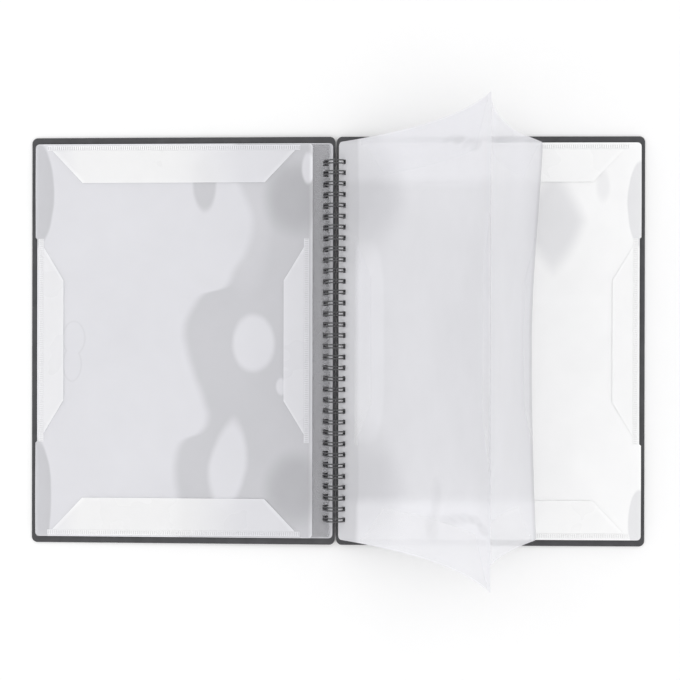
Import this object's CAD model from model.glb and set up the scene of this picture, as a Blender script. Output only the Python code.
"""Looks of a wire-bound music folder: dark covers, clear leaves that fold out, and one leaf half turned.

Lengths are in millimetres until a mesh is made. A leaf's own frame has u away from the spine, v up the
page and w up from its fold plane, as in the part's source.
"""
import math

import bpy
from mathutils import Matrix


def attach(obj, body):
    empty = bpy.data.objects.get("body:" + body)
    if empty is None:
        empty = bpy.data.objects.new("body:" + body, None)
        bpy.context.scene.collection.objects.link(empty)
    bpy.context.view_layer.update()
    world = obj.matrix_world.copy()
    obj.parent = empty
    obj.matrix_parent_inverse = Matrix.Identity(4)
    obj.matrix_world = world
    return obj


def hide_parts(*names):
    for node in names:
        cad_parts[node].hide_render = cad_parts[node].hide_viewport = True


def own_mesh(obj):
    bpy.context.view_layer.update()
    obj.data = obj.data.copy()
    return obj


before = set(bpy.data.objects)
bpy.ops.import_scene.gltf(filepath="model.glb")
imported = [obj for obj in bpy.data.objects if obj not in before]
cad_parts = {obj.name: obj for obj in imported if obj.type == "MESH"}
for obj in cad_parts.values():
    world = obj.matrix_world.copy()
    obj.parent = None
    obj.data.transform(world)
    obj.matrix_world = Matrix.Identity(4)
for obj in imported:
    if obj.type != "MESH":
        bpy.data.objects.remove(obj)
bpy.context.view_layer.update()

MM = 0.001

# Sizes of the part's source that the films follow
COVER_W = 242.0
COVER_T = 1.2
COVER_EDGE_U = 0.6
COVER_HOLE_U = 7.0
LOOP_R = 9.2
LOOP_COUNT = 34
LOOP_PITCH = 8.467
WIRE_R = 0.55
WIRE_CLEAR = 0.3
HOLE_SIDE = 4.2
LEAF_H = 311.0
INNER_W = 236.5
OUTER_W = 220.5
LEAF_EDGE_U = 2.4
LEAF_HOLE_U = 8.0
LEAF_CORNER_R = 3.0
LEAF_CLEAR = 0.15
FILM_T = 0.2
FLAP_T = 0.15
FOLD_GAP = 0.1
POCKET_GAP = 0.15
NOTCH_DEPTH = 1.4
WELD_W = 4.0
WELD_INSET = 1.2
FLAP_GAP = 0.1
LONG_FLAP = {"outer": 201.0, "inner": 145.0, "depth": 29.5}
SIDE_FLAP = {"outer": 161.0, "inner": 95.0, "depth": 20.0}
REST_X = 157.0
REST_GAP = 0.3
INNER_BOW = 40.0
OUTER_BOW = 20.0
LEFT_LEAVES = 3
RIGHT_LEAVES = 4
SIDES = ("top", "bottom", "spine", "crease")

# Places worked out from them
AXIS_Z = LOOP_R + WIRE_R
DROP = math.sqrt((LOOP_R - WIRE_R) ** 2 - (COVER_HOLE_U - HOLE_SIDE / 2 + WIRE_CLEAR) ** 2)
FORE_U = COVER_EDGE_U + COVER_W
TILT = math.asin(AXIS_Z / math.hypot(FORE_U, DROP)) - math.atan(DROP / FORE_U)
CREASE_U = LEAF_EDGE_U + INNER_W
FREE_U = CREASE_U - OUTER_W
PAGE_MID_U = (FREE_U + CREASE_U) / 2
LEAF_T = FOLD_GAP + 2 * (FILM_T + POCKET_GAP + FLAP_T)
LEAF_PITCH = LEAF_T + LEAF_CLEAR
FIRST_FOLD = COVER_T + LEAF_CLEAR + LEAF_T / 2
PANEL_MID = FOLD_GAP / 2 + FILM_T / 2
FLAP_MID = FOLD_GAP / 2 + FILM_T + POCKET_GAP + FLAP_T / 2
HALF_H = LEAF_H / 2
NOTCH_V = SIDE_FLAP["outer"] / 2


def lerp(a, b, t):
    return a + (b - a) * t


def smooth(t):
    t = min(max(t, 0.0), 1.0)
    return t * t * (3 - 2 * t)


# Soft swellings of a lying page: place and half-widths in u and v, and height
LEFT_SWELL = [
    (62, -4, 20, 20, 0.5),
    (80, 103, 16, 34, 0.5),
    (97, -95, 18, 36, 0.5),
    (150, 30, 60, 90, 0.9),
    (30, 60, 14, 50, 0.35),
    (232, 124, 9, 25, 1.2),
    (232, -124, 9, 25, 1.2),
]
RIGHT_SWELL = [
    (205, 60, 26, 60, 0.5),
    (195, -70, 30, 60, 0.4),
    (232, 108, 8, 32, 1.0),
    (232, -112, 8, 34, 1.0),
    (70, 10, 50, 90, 0.5),
]


def swell(bumps, u, v):
    total = 0.0
    for at_u, at_v, half_u, half_v, height in bumps:
        total += height * math.exp(-(((u - at_u) / half_u) ** 2) - ((v - at_v) / half_v) ** 2)
    return total


def left_wave(u, v):
    return swell(LEFT_SWELL, u, v)


def right_wave(u, v):
    return -swell(RIGHT_SWELL, u, v)


def no_wave(u, v):
    return 0.0


def left_place(i):
    """World place of a point of turned leaf i, counted up from the front cover."""
    fold = FIRST_FOLD + (i - 1) * LEAF_PITCH

    def place(u, v, w):
        x, z = -u, fold + w - DROP
        return (
            x * math.cos(TILT) - z * math.sin(TILT),
            v,
            AXIS_Z + x * math.sin(TILT) + z * math.cos(TILT),
        )

    return place


def right_place(i):
    """World place of a point of unturned leaf i, counted up from the back cover, inner panel on top."""
    fold = FIRST_FOLD + (i - 1) * LEAF_PITCH

    def place(u, v, w):
        z = fold - w - DROP
        return (
            u * math.cos(TILT) + z * math.sin(TILT),
            v,
            AXIS_Z - u * math.sin(TILT) + z * math.cos(TILT),
        )

    return place


# The standing leaf: its inner panel is an arc from the wire to the crest, and its outer panel comes down
# from there to the right page
FOOT_R = LOOP_R - (LEAF_HOLE_U - LEAF_EDGE_U)
RIGHT_TOP = COVER_T + RIGHT_LEAVES * LEAF_PITCH
REST_DROP = (DROP - RIGHT_TOP) * math.cos(TILT) + REST_X * math.sin(TILT) - FILM_T - REST_GAP


def chord_of(width, bow):
    return 2 * width / math.radians(bow) * math.sin(math.radians(bow / 2))


def slope_at_wire():
    """Slope from the triangle of the loops' axis, the crest and the free edge."""
    half_bow = math.radians(INNER_BOW / 2)
    inner, outer = chord_of(INNER_W, INNER_BOW), chord_of(OUTER_W, OUTER_BOW)
    along, up = FOOT_R + inner * math.cos(half_bow), inner * math.sin(half_bow)
    crest, tip = math.hypot(along, up), math.hypot(REST_X, REST_DROP)
    at_axis = math.acos((crest ** 2 + tip ** 2 - outer ** 2) / (2 * crest * tip))
    return math.degrees(at_axis - math.atan(REST_DROP / REST_X) - math.atan(up / along))


FOOT_SLOPE = slope_at_wire()
FOOT_X = FOOT_R * math.cos(math.radians(FOOT_SLOPE))
FOOT_Z = AXIS_Z + FOOT_R * math.sin(math.radians(FOOT_SLOPE))
INNER_R = INNER_W / math.radians(INNER_BOW)


def inner_arc(u):
    """Point and slope of the standing inner panel at u."""
    start = math.radians(FOOT_SLOPE)
    turn = start + (u - LEAF_EDGE_U) / INNER_R
    x = FOOT_X + INNER_R * (math.sin(turn) - math.sin(start))
    z = FOOT_Z - INNER_R * (math.cos(turn) - math.cos(start))
    return x, z, turn


CREST_X, CREST_Z, _ = inner_arc(CREASE_U)
TIP_X, TIP_Z = REST_X, AXIS_Z - REST_DROP
# How far the free edge strays from its line in the middle and at the bottom
TIP_PULL, TIP_FOOT = -3.4, 0.4
# How far the upper corner flares out, and how far the film is tucked in under the crest near the bottom
FLARE, TUCK = 5.0, 7.0
# Range and steps of the search for an arc's turn, in radians
BOW_LOW, BOW_HIGH, BOW_STEPS = 0.01, 2.5, 50


def bow_for(chord):
    """Turn of an arc of the outer panel's width over a chord."""
    low, high = BOW_LOW, BOW_HIGH
    for _ in range(BOW_STEPS):
        mid = (low + high) / 2
        if 2 * OUTER_W / mid * math.sin(mid / 2) > chord:
            low = mid
        else:
            high = mid
    return low


def outer_arc(u, v):
    """Point and slope of the standing outer panel at u, in the row at v."""
    up = v / HALF_H
    tip_x = TIP_X + lerp(TIP_PULL, TIP_FOOT if up < 0 else 0.0, up * up)
    bow = bow_for(math.hypot(tip_x - CREST_X, TIP_Z - CREST_Z))
    radius = OUTER_W / bow
    along = (CREASE_U - u) / OUTER_W
    start = math.atan2(TIP_Z - CREST_Z, tip_x - CREST_X) - bow / 2
    turn = start + along * bow
    x = CREST_X + radius * (math.sin(turn) - math.sin(start))
    z = CREST_Z - radius * (math.cos(turn) - math.cos(start))
    last_third = smooth(along * 3 - 2)
    lowest_quarter = smooth(-up * 2 - 1)
    x += FLARE * smooth(up) * last_third - TUCK * lowest_quarter * math.sin(math.pi * along)
    return x, z, turn


# Creases pressed into the standing leaf: place in u and v, direction, length, half-width and depth
STANDING_CREASES = [
    (131, -118, 59, 54, 4.5, 0.7),
    (167, -120, 12, 46, 4.5, 0.6),
    (207, -119, -12, 36, 4.5, 0.6),
    (165, 132, 20, 46, 5.0, 0.4),
    (205, 120, 80, 40, 5.0, 0.3),
]
# They fade out over this distance from the crest
CREASE_FADE = 20.0


def crease_relief(u, v):
    total = 0.0
    for at_u, at_v, angle, length, half, depth in STANDING_CREASES:
        du, dv = u - at_u, v - at_v
        cos, sin = math.cos(math.radians(angle)), math.sin(math.radians(angle))
        along, across = du * cos + dv * sin, dv * cos - du * sin
        total += depth * math.exp(-((along / (length / 2)) ** 2) - (across / half) ** 2)
    return total


def standing_inner(u, v, w):
    x, z, turn = inner_arc(u)
    off = w - PANEL_MID + crease_relief(u, v) * smooth((CREASE_U - u) / CREASE_FADE)
    return x - off * math.sin(turn), v, z + off * math.cos(turn)


def standing_outer(u, v, w):
    x, z, turn = outer_arc(u, v)
    off = w - PANEL_MID
    return x - off * math.sin(turn), v, z + off * math.cos(turn)


# Materials
NOISE_ROUGH = 0.55
# Noise seldom leaves this range
NOISE_LOW, NOISE_HIGH = 0.3, 0.7


def new_material(name):
    mat = bpy.data.materials.new(name)
    mat.use_nodes = True
    tree = mat.node_tree
    return mat, tree.nodes, tree.links, tree.nodes["Principled BSDF"]


def noise(nodes, links, coords, scale, detail):
    node = nodes.new("ShaderNodeTexNoise")
    node.inputs["Scale"].default_value = scale
    node.inputs["Detail"].default_value = detail
    node.inputs["Roughness"].default_value = NOISE_ROUGH
    links.new(coords, node.inputs["Vector"])
    return node.outputs["Fac"]


def remap(nodes, links, value, low, high, from_low=NOISE_LOW, from_high=NOISE_HIGH):
    node = nodes.new("ShaderNodeMapRange")
    node.inputs["From Min"].default_value = from_low
    node.inputs["From Max"].default_value = from_high
    node.inputs["To Min"].default_value = low
    node.inputs["To Max"].default_value = high
    links.new(value, node.inputs["Value"])
    return node.outputs["Result"]


def math_node(nodes, links, operation, *values):
    """Math node over values that are numbers or sockets."""
    node = nodes.new("ShaderNodeMath")
    node.operation = operation
    for socket, value in zip(node.inputs, values):
        if isinstance(value, (int, float)):
            socket.default_value = value
        else:
            links.new(value, socket)
    return node.outputs["Value"]


def two_tone(nodes, links, mask, first, last, start=0.0, end=1.0):
    """Colour that goes from first to last as a mask goes from start to end."""
    node = nodes.new("ShaderNodeValToRGB")
    low, high = node.color_ramp.elements
    low.position, low.color = start, first
    high.position, high.color = end, last
    links.new(mask, node.inputs["Fac"])
    return node.outputs["Color"]


def bump(nodes, links, height, strength, distance):
    node = nodes.new("ShaderNodeBump")
    node.inputs["Strength"].default_value = strength
    node.inputs["Distance"].default_value = distance
    links.new(height, node.inputs["Height"])
    return node.outputs["Normal"]


BOARD_DARK, BOARD_LIGHT = (0.048, 0.048, 0.052, 1), (0.065, 0.065, 0.070, 1)
WIRE_DARK, WIRE_LIGHT = (0.050, 0.050, 0.054, 1), (0.085, 0.085, 0.091, 1)


def board_material(name):
    """Dark plastic board with a fine grain."""
    mat, nodes, links, bsdf = new_material(name)
    coords = nodes.new("ShaderNodeTexCoord").outputs["Object"]
    cloud = noise(nodes, links, coords, scale=90, detail=8)
    tone = two_tone(nodes, links, cloud, BOARD_DARK, BOARD_LIGHT, NOISE_LOW, NOISE_HIGH)
    links.new(tone, bsdf.inputs["Base Color"])
    grain = noise(nodes, links, coords, scale=1400, detail=3)
    links.new(remap(nodes, links, grain, low=0.48, high=0.62), bsdf.inputs["Roughness"])
    links.new(bump(nodes, links, grain, strength=0.1, distance=0.0002), bsdf.inputs["Normal"])
    return mat


def wire_material(name):
    """Dark coat of the wire, a little glossy."""
    mat, nodes, links, bsdf = new_material(name)
    coords = nodes.new("ShaderNodeTexCoord").outputs["Object"]
    cloud = noise(nodes, links, coords, scale=300, detail=5)
    links.new(two_tone(nodes, links, cloud, WIRE_DARK, WIRE_LIGHT), bsdf.inputs["Base Color"])
    skin = noise(nodes, links, coords, scale=2500, detail=2)
    links.new(remap(nodes, links, skin, low=0.3, high=0.42), bsdf.inputs["Roughness"])
    links.new(bump(nodes, links, skin, strength=0.2, distance=0.00005), bsdf.inputs["Normal"])
    bsdf.inputs["Coat Weight"].default_value = 0.3
    bsdf.inputs["Coat Roughness"].default_value = 0.25
    return mat


class Page:
    """Masks over a page in its own u and v, in millimetres, whose borders waver by about warp."""

    def __init__(self, nodes, links, warp=2.5):
        self.nodes, self.links = nodes, links
        page_map = nodes.new("ShaderNodeUVMap")
        page_map.uv_map = "page"
        self.place = page_map.outputs["UV"]
        split = nodes.new("ShaderNodeSeparateXYZ")
        links.new(self.place, split.inputs["Vector"])
        shift = self.math("MULTIPLY", self.wave(scale=9, detail=2), warp)
        self.u = self.math("MULTIPLY_ADD", split.outputs["X"], CREASE_U, shift)
        from_middle = self.math("SUBTRACT", split.outputs["Y"], 0.5)
        self.v = self.math("MULTIPLY_ADD", from_middle, LEAF_H, shift)
        self.height = split.outputs["Y"]

    def math(self, operation, *values):
        return math_node(self.nodes, self.links, operation, *values)

    def wave(self, scale, detail):
        """Noise about 0 over the page."""
        return self.math("SUBTRACT", noise(self.nodes, self.links, self.place, scale, detail), 0.5)

    def slow_wave(self):
        return self.wave(scale=3, detail=1)

    def ramp(self, value, start, end):
        """Smooth step from 0 at start to 1 at end."""
        node = self.nodes.new("ShaderNodeMapRange")
        node.interpolation_type = "SMOOTHSTEP"
        node.inputs["From Min"].default_value = start
        node.inputs["From Max"].default_value = end
        self.links.new(value, node.inputs["Value"])
        return node.outputs["Result"]

    def spot(self, at_u, at_v, half_u, half_v, soft, lean=0.0, power=2.0):
        """1 inside an oval of these half-widths, 0 outside, over a soft rim.

        lean moves it along u as v grows. power 1 makes a diamond of it, and a high power a rounded box.
        """
        off_u = self.math("SUBTRACT", self.u, at_u)
        off_v = self.math("SUBTRACT", self.v, at_v)
        if lean:
            off_u = self.math("SUBTRACT", off_u, self.math("MULTIPLY", off_v, lean))
        far = []
        for off, half in ((off_u, half_u), (off_v, half_v)):
            share = self.math("ABSOLUTE", self.math("DIVIDE", off, half))
            far.append(self.math("POWER", share, power))
        return self.ramp(self.math("ADD", *far), 1 + soft, 1 - soft)

    def spine_side(self, line, soft):
        """1 on the spine side of a line drawn up the page through points (v, u)."""
        node = self.nodes.new("ShaderNodeFloatCurve")
        points = node.mapping.curves[0].points
        placed = [(0.5 + v / LEAF_H, u / CREASE_U) for v, u in line]
        points[0].location, points[1].location = placed[0], placed[-1]
        for spot in placed[1:-1]:
            points.new(*spot)
        node.mapping.update()
        self.links.new(self.height, node.inputs["Value"])
        over = self.math("SUBTRACT", self.math("MULTIPLY", node.outputs["Value"], CREASE_U), self.u)
        return self.ramp(over, -soft, soft)

    def any_of(self, *masks):
        total = masks[0]
        for mask in masks[1:]:
            total = self.math("MAXIMUM", total, mask)
        return total

    def without(self, mask, *holes):
        for hole in holes:
            mask = self.math("MULTIPLY", mask, self.math("SUBTRACT", 1.0, hole))
        return mask

    def weigh(self, base, *parts):
        """Sum of a base and of masks times their shares."""
        total = base
        for mask, share in parts:
            total = self.math("MULTIPLY_ADD", mask, share, total)
        return total


# Films are a little bluer than grey
FILM_BLUE = 1.04
# How much the haze and the roughness of a film vary over it
HAZE_SPREAD, ROUGH_SPREAD = 0.02, 0.2


def grey(value, blue=FILM_BLUE):
    return (value, value, min(value * blue, 1.0), 1)


def finish_film(nodes, links, bsdf, haze, rim, rough, gloss, ripple=0.2):
    """Haze, what the cut edges or the ribs of a weld add to it, and the ripple of the film's skin."""
    coords = nodes.new("ShaderNodeTexCoord").outputs["Object"]
    edge = nodes.new("ShaderNodeAttribute")
    edge.attribute_name = "edge"
    mottle = noise(nodes, links, coords, scale=25, detail=2)
    cloud = remap(nodes, links, mottle, 1 - HAZE_SPREAD, 1 + HAZE_SPREAD)
    cut = math_node(nodes, links, "MULTIPLY", edge.outputs["Fac"], rim)
    links.new(math_node(nodes, links, "MULTIPLY_ADD", cloud, haze, cut), bsdf.inputs["Alpha"])
    roughness = remap(nodes, links, mottle, rough * (1 - ROUGH_SPREAD), rough * (1 + ROUGH_SPREAD))
    links.new(roughness, bsdf.inputs["Roughness"])
    bsdf.inputs["Specular IOR Level"].default_value = gloss
    skin = noise(nodes, links, coords, scale=30, detail=1)
    links.new(bump(nodes, links, skin, strength=ripple, distance=0.001), bsdf.inputs["Normal"])


def inner_film(name):
    """Film inside a stack: the punched strip is clearer than the page."""
    mat, nodes, links, bsdf = new_material(name)
    page = Page(nodes, links, warp=0.0)
    bsdf.inputs["Base Color"].default_value = grey(0.88)
    haze = remap(nodes, links, page.u, low=0.18, high=0.4, from_low=FREE_U - 1, from_high=FREE_U + 2)
    finish_film(nodes, links, bsdf, haze, rim=0.3, rough=0.4, gloss=0.2)
    return mat


FLAP_WARP = 12.0
# Between these values of u the shade of the spine side ends, and that of the crease begins
SPINE_SHADE_END, CREASE_SHADE_START = (62, 140), (200, 222)


def flap_film(name, colour, haze, rim, near=1.0, blue=FILM_BLUE):
    """Film of flaps and welds.

    Its colour is taken down by near on the spine side, and half as much at the crease.
    """
    mat, nodes, links, bsdf = new_material(name)
    page = Page(nodes, links, FLAP_WARP)
    far_from_spine = page.ramp(page.u, *SPINE_SHADE_END)
    by_crease = page.ramp(page.u, *CREASE_SHADE_START)
    light = page.weigh(far_from_spine, (by_crease, -0.5))
    tone = two_tone(nodes, links, light, grey(colour * near, blue), grey(colour, blue))
    links.new(tone, bsdf.inputs["Base Color"])
    finish_film(nodes, links, bsdf, haze, rim, rough=0.3, gloss=0.5)
    return mat


def standing_flap_film(name):
    """Flaps of the standing leaf: clearer than the lying ones, and whitest at the foot of the page."""
    mat, nodes, links, bsdf = new_material(name)
    page = Page(nodes, links, FLAP_WARP)
    to_foot = page.ramp(page.v, 110, -110)
    links.new(two_tone(nodes, links, to_foot, grey(0.94), grey(1.0)), bsdf.inputs["Base Color"])
    haze = page.weigh(0.1, (to_foot, 0.14))
    finish_film(nodes, links, bsdf, haze, rim=0.0, rough=0.45, gloss=0.2, ripple=0.1)
    return mat


# Border of the zone where the left page clings to the film under it, as (v, u)
CLING_LINE = [
    (-155, 124), (-124, 125), (-92, 126), (-80, 121), (-72, 106), (-63, 101), (-48, 104),
    (-31, 110), (-10, 117), (12, 119), (24, 114), (36, 106), (43, 86), (56, 80), (72, 70),
    (91, 66), (104, 68), (125, 76), (155, 80),
]


def left_page_film(name):
    """Film of the open left page: a darker zone, with bubbles in it, clings to the film under it."""
    mat, nodes, links, bsdf = new_material(name)
    page = Page(nodes, links)
    bubbles = [
        page.spot(65, -2, 16.5, 22.5, soft=0.3),
        page.spot(85, -99, 15, 36, soft=0.3, lean=-0.12, power=1.6),
        page.spot(22, 136, 5, 12, soft=0.4),
        page.spot(43, -36, 4, 6.5, soft=0.5),
    ]
    cling = page.without(page.spine_side(CLING_LINE, soft=5.0), *bubbles)
    cling = page.any_of(cling, page.spot(104, 124, 9, 21, soft=0.35))
    pale = page.math("MULTIPLY", page.spot(70, 92, 17, 48, soft=0.9), cling)
    corners = page.any_of(page.spot(32, 112, 22, 26, soft=0.8), page.spot(32, -117, 22, 26, soft=0.8))
    corners = page.without(corners, *bubbles)
    folds = page.any_of(page.spot(239, 116, 15, 42, soft=0.12), page.spot(239, -124, 13, 46, soft=0.12))
    ring = page.without(
        page.any_of(
            page.spot(208, 1.5, 9.5, 14, soft=0.12),
            page.spot(209.5, -19, 8, 14, soft=0.12),
        ),
        page.any_of(
            page.spot(208, 1.5, 8.3, 12.8, soft=0.12),
            page.spot(209.5, -19, 6.8, 12.8, soft=0.12),
        ),
    )
    depth = page.weigh(
        0.02,
        (page.slow_wave(), 0.12),
        (cling, 0.4),
        (pale, -0.13),
        (corners, 0.3),
        (folds, 0.45),
        (ring, 0.13),
    )
    links.new(two_tone(nodes, links, depth, grey(0.94), grey(0.42)), bsdf.inputs["Base Color"])
    finish_film(nodes, links, bsdf, haze=0.62, rim=0.3, rough=0.22, gloss=0.5)
    return mat


def right_page_film(name):
    """Film of the open right page, with shade where it bends and in the corners by the spine."""
    mat, nodes, links, bsdf = new_material(name)
    page = Page(nodes, links)
    shade = page.any_of(
        page.spot(170, 94, 23, 37, soft=0.4, power=1.3),
        page.spot(239, 107, 11, 34, soft=0.12),
        page.spot(238, -140, 9, 24, soft=0.15),
    )
    corners = page.any_of(page.spot(30, 112, 24, 28, soft=0.8), page.spot(30, -117, 24, 28, soft=0.8))
    dent = page.spot(209, 122, 5, 12, soft=0.8)
    depth = page.weigh(0.0, (shade, 0.5), (dent, 0.25), (corners, 1.0))
    links.new(two_tone(nodes, links, depth, grey(0.99, blue=1.0), grey(0.64)), bsdf.inputs["Base Color"])
    finish_film(nodes, links, bsdf, haze=0.92, rim=0.05, rough=0.22, gloss=0.5)
    return mat


# Smudges where the standing leaf is creased: place and half-widths in u and v, and strength
SMUDGES = [
    (150, 139, 14, 2.2, 0.16),
    (166, 136, 11, 2.6, 0.3),
    (184, 131, 13, 2.2, 0.2),
    (200, 127, 12, 3.0, 0.24),
    (122, -132, 10, 9, 0.24),
    (128, -112, 8, 15, 0.14),
    (148, -123, 15, 3.0, 0.2),
    (165, -120, 15, 3.0, 0.2),
    (182, -117, 15, 3.0, 0.22),
    (201, -116, 14, 3.0, 0.22),
    (219, -119, 13, 3.5, 0.26),
]
# The paler zones at the standing leaf's head and foot start and are full at these distances from its
# middle, less the slant's share of u
PALE_START, PALE_FULL, PALE_SLANT = 120, 132, 0.112


def standing_film(name, shade, glow, veil, smudges):
    """Film of the standing leaf, with this much shade in the corners by its spine side.

    The flaps of the page under it show through as paler zones, at its side by as much as glow says.
    At head and foot, where flap and panel are double, veil is added to the haze.
    """
    mat, nodes, links, bsdf = new_material(name)
    page = Page(nodes, links)
    strip = page.ramp(page.u, FREE_U + 9, FREE_U + 1)
    corners = page.any_of(page.spot(18, 112, 54, 46, soft=0.9), page.spot(18, -112, 54, 46, soft=0.9))
    side = page.spot(26, -1, 30, 76, soft=0.3, power=4.0)
    slant = page.math("MULTIPLY", page.u, PALE_SLANT)
    head = page.ramp(page.math("ADD", slant, page.v), PALE_START, PALE_FULL)
    foot = page.ramp(page.math("SUBTRACT", slant, page.v), PALE_START, PALE_FULL)
    depth = page.weigh(
        0.4,
        (page.slow_wave(), 0.24),
        (strip, 0.6),
        (corners, shade),
        (side, -glow),
        (head, -0.1),
        (foot, -0.28),
    )
    for at_u, at_v, half_u, half_v, strength in smudges:
        depth = page.weigh(depth, (page.spot(at_u, at_v, half_u, half_v, soft=0.9), strength))
    links.new(two_tone(nodes, links, depth, grey(0.94), grey(0.66)), bsdf.inputs["Base Color"])
    haze = page.weigh(0.79, (page.any_of(head, foot), veil))
    finish_film(nodes, links, bsdf, haze, rim=0.0, rough=0.4, gloss=0.2, ripple=0.1)
    return mat


BOARD = board_material("cover_board")
COAT = wire_material("wire_coat")
FILM = inner_film("film")
FLAP_FILM = flap_film("flap_film", colour=0.9, haze=0.25, rim=0.2)
LEFT_PAGE_FILM = left_page_film("left_page_film")
RIGHT_PAGE_FILM = right_page_film("right_page_film")
LEFT_FLAP_FILM = flap_film("left_flap_film", colour=1.0, haze=0.76, rim=0.1, near=0.86)
LEFT_WELD_FILM = flap_film("left_weld_film", colour=1.0, haze=0.76, rim=-0.7, near=0.86)
RIGHT_FLAP_FILM = flap_film("right_flap_film", colour=0.965, haze=0.93, rim=0.05, blue=1.0)
RIGHT_WELD_FILM = flap_film("right_weld_film", colour=0.965, haze=0.85, rim=-0.6, blue=1.0)
STANDING_FILM = {
    "inner": standing_film("standing_film", shade=0.4, glow=0.16, veil=0.14, smudges=SMUDGES),
    "outer": standing_film("fold_out_film", shade=0.0, glow=0.0, veil=0.0, smudges=[]),
}
STANDING_FLAP_FILM = standing_flap_film("standing_flap_film")


# Meshes
def new_piece(name, verts, faces, uvs, edges, material, body, nodes):
    mesh = bpy.data.meshes.new(name)
    mesh.from_pydata([tuple(c * MM for c in p) for p in verts], [], faces)
    mesh.polygons.foreach_set("use_smooth", [True] * len(faces))
    layer = mesh.uv_layers.new(name="page")
    for loop in mesh.loops:
        layer.data[loop.index].uv = uvs[loop.vertex_index]
    rim = mesh.attributes.new("edge", "FLOAT", "POINT")
    rim.data.foreach_set("value", edges)
    mesh.materials.append(material)
    obj = bpy.data.objects.new(name, mesh)
    bpy.context.scene.collection.objects.link(obj)
    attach(obj, body)
    if nodes:
        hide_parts(*nodes)
    return obj


class Sheet:
    """Gathers quads of one piece in a leaf's own frame."""

    def __init__(self):
        self.verts, self.faces, self.uvs, self.edges = [], [], [], []

    def add_grid(self, rows, skip=None):
        """rows: lists of (u, v, w, edge), all of one length. skip tells which quads are left out."""
        base, width = len(self.verts), len(rows[0])
        for row in rows:
            for u, v, w, edge in row:
                self.verts.append((u, v, w))
                self.uvs.append((u / CREASE_U, 0.5 + v / LEAF_H))
                self.edges.append(edge)
        for j in range(len(rows) - 1):
            for i in range(width - 1):
                if skip is None or not skip(rows[j][i], rows[j + 1][i + 1]):
                    a = base + j * width + i
                    self.faces.append((a, a + 1, a + 1 + width, a + width))

    def make(self, name, place, material, body, slot, nodes=()):
        verts = [place(*p) for p in self.verts]
        return new_piece(name, verts, self.faces, self.uvs, self.edges, material, body, nodes)


def spread(start, end, step):
    count = max(1, round((end - start) / step))
    return [lerp(start, end, k / count) for k in range(count + 1)]


def loop_v(i):
    return (i - (LOOP_COUNT - 1) / 2) * LOOP_PITCH


# Width of a cut edge
RIM = 0.6
# Rows of a panel at its rounded corners, as depths from its end, and about the ends of the relief
CORNER_ROWS = (0.0, 0.25, RIM, 1.3, 2.1, LEAF_CORNER_R)
RELIEF_ROWS = (1.0, -0.2)
# Length over which the relief runs out
RELIEF_RUN = 1.2
# Steps of a panel's other rows and of its columns, and the room they leave at corners and holes
ROW_STEP, ROW_ROOM = 5, 6
COLUMN_STEP, FINE_COLUMN_STEP, COLUMN_ROOM = 6, 3, 0.4
HOLE_ROOM = 1
ROW_DIGITS = 4


def row_lines(holes):
    """Values of v for a panel's rows: close together at the corners, the relief's ends and the holes."""
    lines = [HALF_H - d for d in CORNER_ROWS] + [NOTCH_V + d for d in RELIEF_ROWS]
    lines += [-v for v in lines]
    if holes:
        for i in range(LOOP_COUNT):
            lines += [loop_v(i) - HOLE_SIDE / 2, loop_v(i) + HOLE_SIDE / 2]
    else:
        lines += spread(-HALF_H + ROW_ROOM, HALF_H - ROW_ROOM, ROW_STEP)
    return sorted({round(v, ROW_DIGITS) for v in lines})


def corner_cut(v):
    """How far a rounded corner sets the edge back in the row at v."""
    into = LEAF_CORNER_R - (HALF_H - abs(v))
    if into <= 0:
        return 0.0
    return LEAF_CORNER_R - math.sqrt(max(LEAF_CORNER_R ** 2 - into ** 2, 0.0))


def relief_cut(v, depth):
    """How far the relief sets the crease back in the row at v."""
    return depth * smooth((NOTCH_V + RELIEF_ROWS[0] - abs(v)) / RELIEF_RUN)


def in_hole(low, high):
    """Whether the quad between two corners lies in a punched hole."""
    mid_u, mid_v = (low[0] + high[0]) / 2, (low[1] + high[1]) / 2
    if abs(mid_u - LEAF_HOLE_U) >= HOLE_SIDE / 2:
        return False
    return any(abs(mid_v - loop_v(i)) < HOLE_SIDE / 2 for i in range(LOOP_COUNT))


def panel_sheet(panel, w_of, step=COLUMN_STEP, relief=NOTCH_DEPTH):
    """Sheet of one panel, from its spine-side edge to the crease. The inner panel is punched."""
    holes = panel == "inner"
    u0 = LEAF_EDGE_U if holes else FREE_U
    columns = spread(u0 + LEAF_CORNER_R + COLUMN_ROOM, CREASE_U - LEAF_CORNER_R - COLUMN_ROOM, step)
    if holes:
        hole_end = LEAF_HOLE_U + HOLE_SIDE / 2
        kept = [u for u in columns if u > hole_end + 2 * HOLE_ROOM]
        columns = [LEAF_HOLE_U - HOLE_SIDE / 2, hole_end, hole_end + HOLE_ROOM] + kept
    rows = []
    for v in row_lines(holes):
        u1 = CREASE_U - max(corner_cut(v), relief_cut(v, relief))
        on_end = 1.0 if HALF_H - abs(v) < RIM / 2 else 0.0
        row = [(u0 + corner_cut(v), v, w_of(u0, v), 1.0)]
        row += [(u, v, w_of(u, v), on_end) for u in columns + [u1 - RIM]]
        row.append((u1, v, w_of(u1, v), 1.0))
        rows.append(row)
    sheet = Sheet()
    sheet.add_grid(rows, skip=in_hole if holes else None)
    return sheet


def at_side(side, along, depth):
    """Page point at a distance along a flap from its middle and a depth from its outer edge."""
    out_v = HALF_H - WELD_INSET - depth
    out_u = OUTER_W / 2 - NOTCH_DEPTH - WELD_INSET - depth
    return {
        "top": (PAGE_MID_U + along, out_v),
        "bottom": (PAGE_MID_U - along, -out_v),
        "spine": (PAGE_MID_U - out_u, along),
        "crease": (PAGE_MID_U + out_u, -along),
    }[side]


def flap_size(side):
    return LONG_FLAP if side in ("top", "bottom") else SIDE_FLAP


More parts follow.
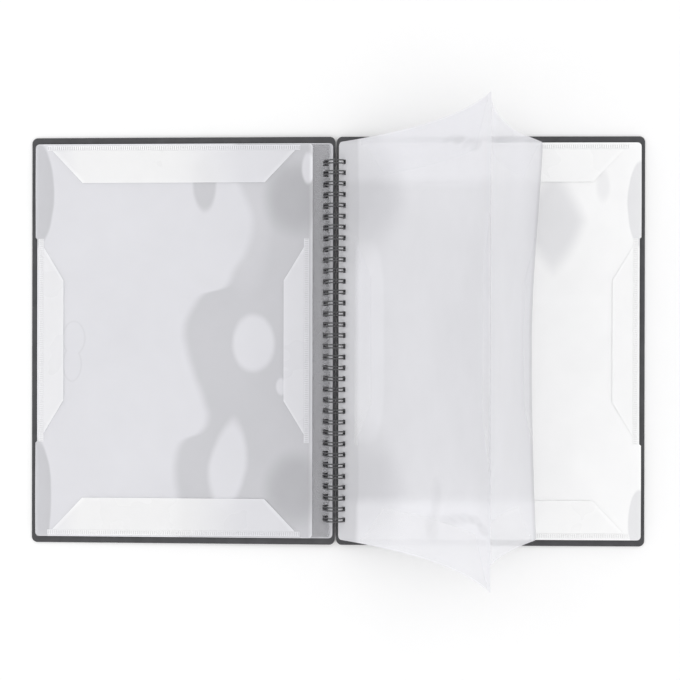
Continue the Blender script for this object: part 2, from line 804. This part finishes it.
# Steps of a flap's rows and columns, and its first row after the edge at the weld
FLAP_ROW_STEP, FLAP_COLUMN_STEP, FLAP_FIRST_ROW = 4, 5, 2


def add_flap(sheet, side, w_of, curl):
    """Flap whose free edge is lifted by curl."""
    size = flap_size(side)
    start, end = WELD_W + FLAP_GAP, size["depth"]
    depths = [start] + spread(start + FLAP_FIRST_ROW, end - RIM, FLAP_ROW_STEP) + [end]
    count = round(size["outer"] / FLAP_COLUMN_STEP)
    rows = []
    for d in depths:
        half = lerp(size["outer"], size["inner"], d / end) / 2
        lift = curl * ((d - start) / (end - start)) ** 2
        row = []
        for k in range(count + 1):
            u, v = at_side(side, half * lerp(-1, 1, k / count), d)
            edge = 1.0 if k in (0, count) or d == end else 0.0
            row.append((u, v, w_of(u, v) + lift, edge))
        rows.append(row)
    sheet.add_grid(rows)


RIB_PITCH, RIB_HEIGHT = 1.7, 0.12
# How clearly the ribs of each weld show
RIB_SHADE = {"top": 0.4, "bottom": 0.25, "spine": 0.25, "crease": 0.12}
# Rows of a weld band from its outer edge, and whether the ribs stand up there
BAND_ROWS = ((0, 0), (0.5, 0), (0.8, 1), (WELD_W - 0.8, 1), (WELD_W - 0.5, 0), (WELD_W, 0))
# Outline of one rib, as shares of the pitch and of the height
RIB_OUTLINE = ((0, 0), (0.3, 0), (0.4, 1), (0.7, 1), (0.8, 0))


def add_band(sheet, side, w_of, height=RIB_HEIGHT):
    """Weld band: a strip pressed into ribs across it."""
    length = flap_size(side)["outer"]
    ribs = round(length / RIB_PITCH)
    pitch = length / ribs
    rows = []
    for d, on in BAND_ROWS:
        row = []
        for k in range(ribs):
            for part, up in RIB_OUTLINE:
                u, v = at_side(side, -length / 2 + (k + part) * pitch, d)
                row.append((u, v, w_of(u, v) + height * up * on, RIB_SHADE[side] * up * on))
        u, v = at_side(side, length / 2, d)
        row.append((u, v, w_of(u, v), 0.0))
        rows.append(row)
    sheet.add_grid(rows)


# Near the crease the two panels of a lying leaf come together over this length
CREASE_RUN = 1.5
# A weld band lies this much lower than its flap
WELD_SINK = 0.1
# How far the free edges of flaps stand off, on the open pages and on the standing leaf
PAGE_CURL, STANDING_CURL = 0.35, 0.2


def panel_level(sign, wave):
    """Height of a lying panel over its fold plane."""
    return lambda u, v: sign * PANEL_MID * smooth((CREASE_U - u) / CREASE_RUN) + wave(u, v)


def flap_level(sign, wave, extra=0.0):
    """Height of a lying panel's flaps over its fold plane."""
    return lambda u, v: sign * (FLAP_MID + extra) + wave(u, v)


def lying_panel(leaf, panel, place, sign, wave, body, films, flap_bodies=None):
    """One panel of a lying leaf with its weld bands and flaps.

    films are those of the panel, the flaps and the bands. Flaps with bodies are pieces of their own.
    """
    panel_look, flap_look, weld_look = films
    stem = f"{leaf}_{panel}"
    sheet = panel_sheet(panel, panel_level(sign, wave))
    sheet.make(f"{stem}_film", place, panel_look, body, "film", [f"{stem}_panel"])
    bands = Sheet()
    for side in SIDES:
        add_band(bands, side, flap_level(sign, wave, -WELD_SINK))
    bands.make(f"{stem}_welds", place, weld_look, body, "flap_film")
    curl = 0.0 if wave is no_wave else sign * PAGE_CURL
    level = flap_level(sign, wave)
    if flap_bodies:
        for side in SIDES:
            flap = Sheet()
            add_flap(flap, side, level, curl)
            node = f"{stem}_flap_{side}"
            flap.make(f"{node}_film", place, flap_look, flap_bodies[side], "flap_film", [node])
        return
    flaps = Sheet()
    for side in SIDES:
        add_flap(flaps, side, level, curl)
    nodes = [f"{stem}_flap_{side}" for side in SIDES if f"{stem}_flap_{side}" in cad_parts]
    flaps.make(f"{stem}_flaps", place, flap_look, body, "flap_film", nodes)


STACK_FILMS = (FILM, FLAP_FILM, FLAP_FILM)
LEFT_FILMS = (LEFT_PAGE_FILM, LEFT_FLAP_FILM, LEFT_WELD_FILM)
RIGHT_FILMS = (RIGHT_PAGE_FILM, RIGHT_FLAP_FILM, RIGHT_WELD_FILM)

for i in range(1, LEFT_LEAVES + 1):
    leaf, place = f"left_leaf_{i}", left_place(i)
    lying_panel(leaf, "inner", place, -1, no_wave, leaf, STACK_FILMS)
    if i == LEFT_LEAVES:
        lifts = {side: f"{leaf}_{side}_flap" for side in SIDES}
        lying_panel(leaf, "outer", place, 1, left_wave, f"{leaf}_fold_out", LEFT_FILMS, lifts)
    else:
        lying_panel(leaf, "outer", place, 1, no_wave, leaf, STACK_FILMS)

for i in range(1, RIGHT_LEAVES + 1):
    leaf, place = f"right_leaf_{i}", right_place(i)
    lying_panel(leaf, "outer", place, 1, no_wave, leaf, STACK_FILMS)
    if i == RIGHT_LEAVES:
        lying_panel(leaf, "inner", place, -1, right_wave, leaf, RIGHT_FILMS)
    else:
        lying_panel(leaf, "inner", place, -1, no_wave, leaf, STACK_FILMS)


# On the standing leaf the pull of the film draws the two edges of the relief together
STANDING_RELIEF = 0.3


def standing_panel(panel, place, body):
    stem = f"turning_leaf_{panel}"
    sheet = panel_sheet(panel, lambda u, v: PANEL_MID, FINE_COLUMN_STEP, STANDING_RELIEF)
    film = sheet.make(f"{stem}_film", place, STANDING_FILM[panel], body, "film", [f"{stem}_panel"])
    bands, flaps = Sheet(), Sheet()
    for side in SIDES:
        add_band(bands, side, lambda u, v: FLAP_MID - WELD_SINK, RIB_HEIGHT / 2)
        add_flap(flaps, side, lambda u, v: FLAP_MID, STANDING_CURL)
    welds = bands.make(f"{stem}_welds", place, STANDING_FLAP_FILM, body, "flap_film")
    nodes = [f"{stem}_flap_{side}" for side in SIDES]
    flap = flaps.make(f"{stem}_flaps", place, STANDING_FLAP_FILM, body, "flap_film", nodes)
    for piece in (film, welds, flap):
        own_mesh(piece)


standing_panel("inner", standing_inner, "turning_leaf")
standing_panel("outer", standing_outer, "turning_leaf_fold_out")

# The covers and the wire keep the frame's own meshes
for name, material in (("front_cover", BOARD), ("back_cover", BOARD), ("twin_loop_wire", COAT)):
    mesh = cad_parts[name].data
    mesh.materials.clear()
    mesh.materials.append(material)

# Table, in metres
TABLE_SIZE, TABLE_DROP = 12, 0.0002
TABLE_TONE = (0.97, 0.97, 0.97, 1)
bpy.ops.mesh.primitive_plane_add(size=TABLE_SIZE, location=(0, 0, -TABLE_DROP))
table = bpy.context.object
table.name = "table"
table_top, _, _, bsdf = new_material("table_top")
bsdf.inputs["Base Color"].default_value = TABLE_TONE
bsdf.inputs["Roughness"].default_value = 0.9
bsdf.inputs["Specular IOR Level"].default_value = 0.0
table.data.materials.append(table_top)

# Plain white world
world = bpy.data.worlds.new("studio")
bpy.context.scene.world = world
world.use_nodes = True
back = world.node_tree.nodes["Background"]
back.inputs["Color"].default_value = (1, 1, 1, 1)
back.inputs["Strength"].default_value = 0.9

# Two soft lamps to the left and right of the camera, in metres and watts
LAMP_X = {"softbox_left": -0.70, "softbox_right": 0.75}
LAMP_Z = 1.25
LAMP_SIZE = (0.92, 1.8)
LAMP_POWER = 2.9
for name, x in LAMP_X.items():
    lamp = bpy.data.lights.new(name, "AREA")
    lamp.shape = "RECTANGLE"
    lamp.size, lamp.size_y = LAMP_SIZE
    lamp.energy = LAMP_POWER
    obj = bpy.data.objects.new(name, lamp)
    obj.location = (x, 0, LAMP_Z)
    bpy.context.scene.collection.objects.link(obj)

# Camera straight above, its pose solved from the covers' corners and the crease in the photograph
CAMERA_PLACE = (0.03819, 0.0027, 1.01623)
CAMERA_TURN = (-0.111, 1.972, 0.118)
cam_data = bpy.data.cameras.new("camera")
cam_data.sensor_width = 36.0
cam_data.lens = 67.95
cam = bpy.data.objects.new("camera", cam_data)
cam.location = CAMERA_PLACE
cam.rotation_euler = tuple(math.radians(a) for a in CAMERA_TURN)
bpy.context.scene.collection.objects.link(cam)
bpy.context.scene.camera = cam
bpy.context.scene.view_settings.view_transform = "Standard"
# A line of sight passes through two films and two flaps of every leaf
bpy.context.scene.cycles.transparent_max_bounces = 64
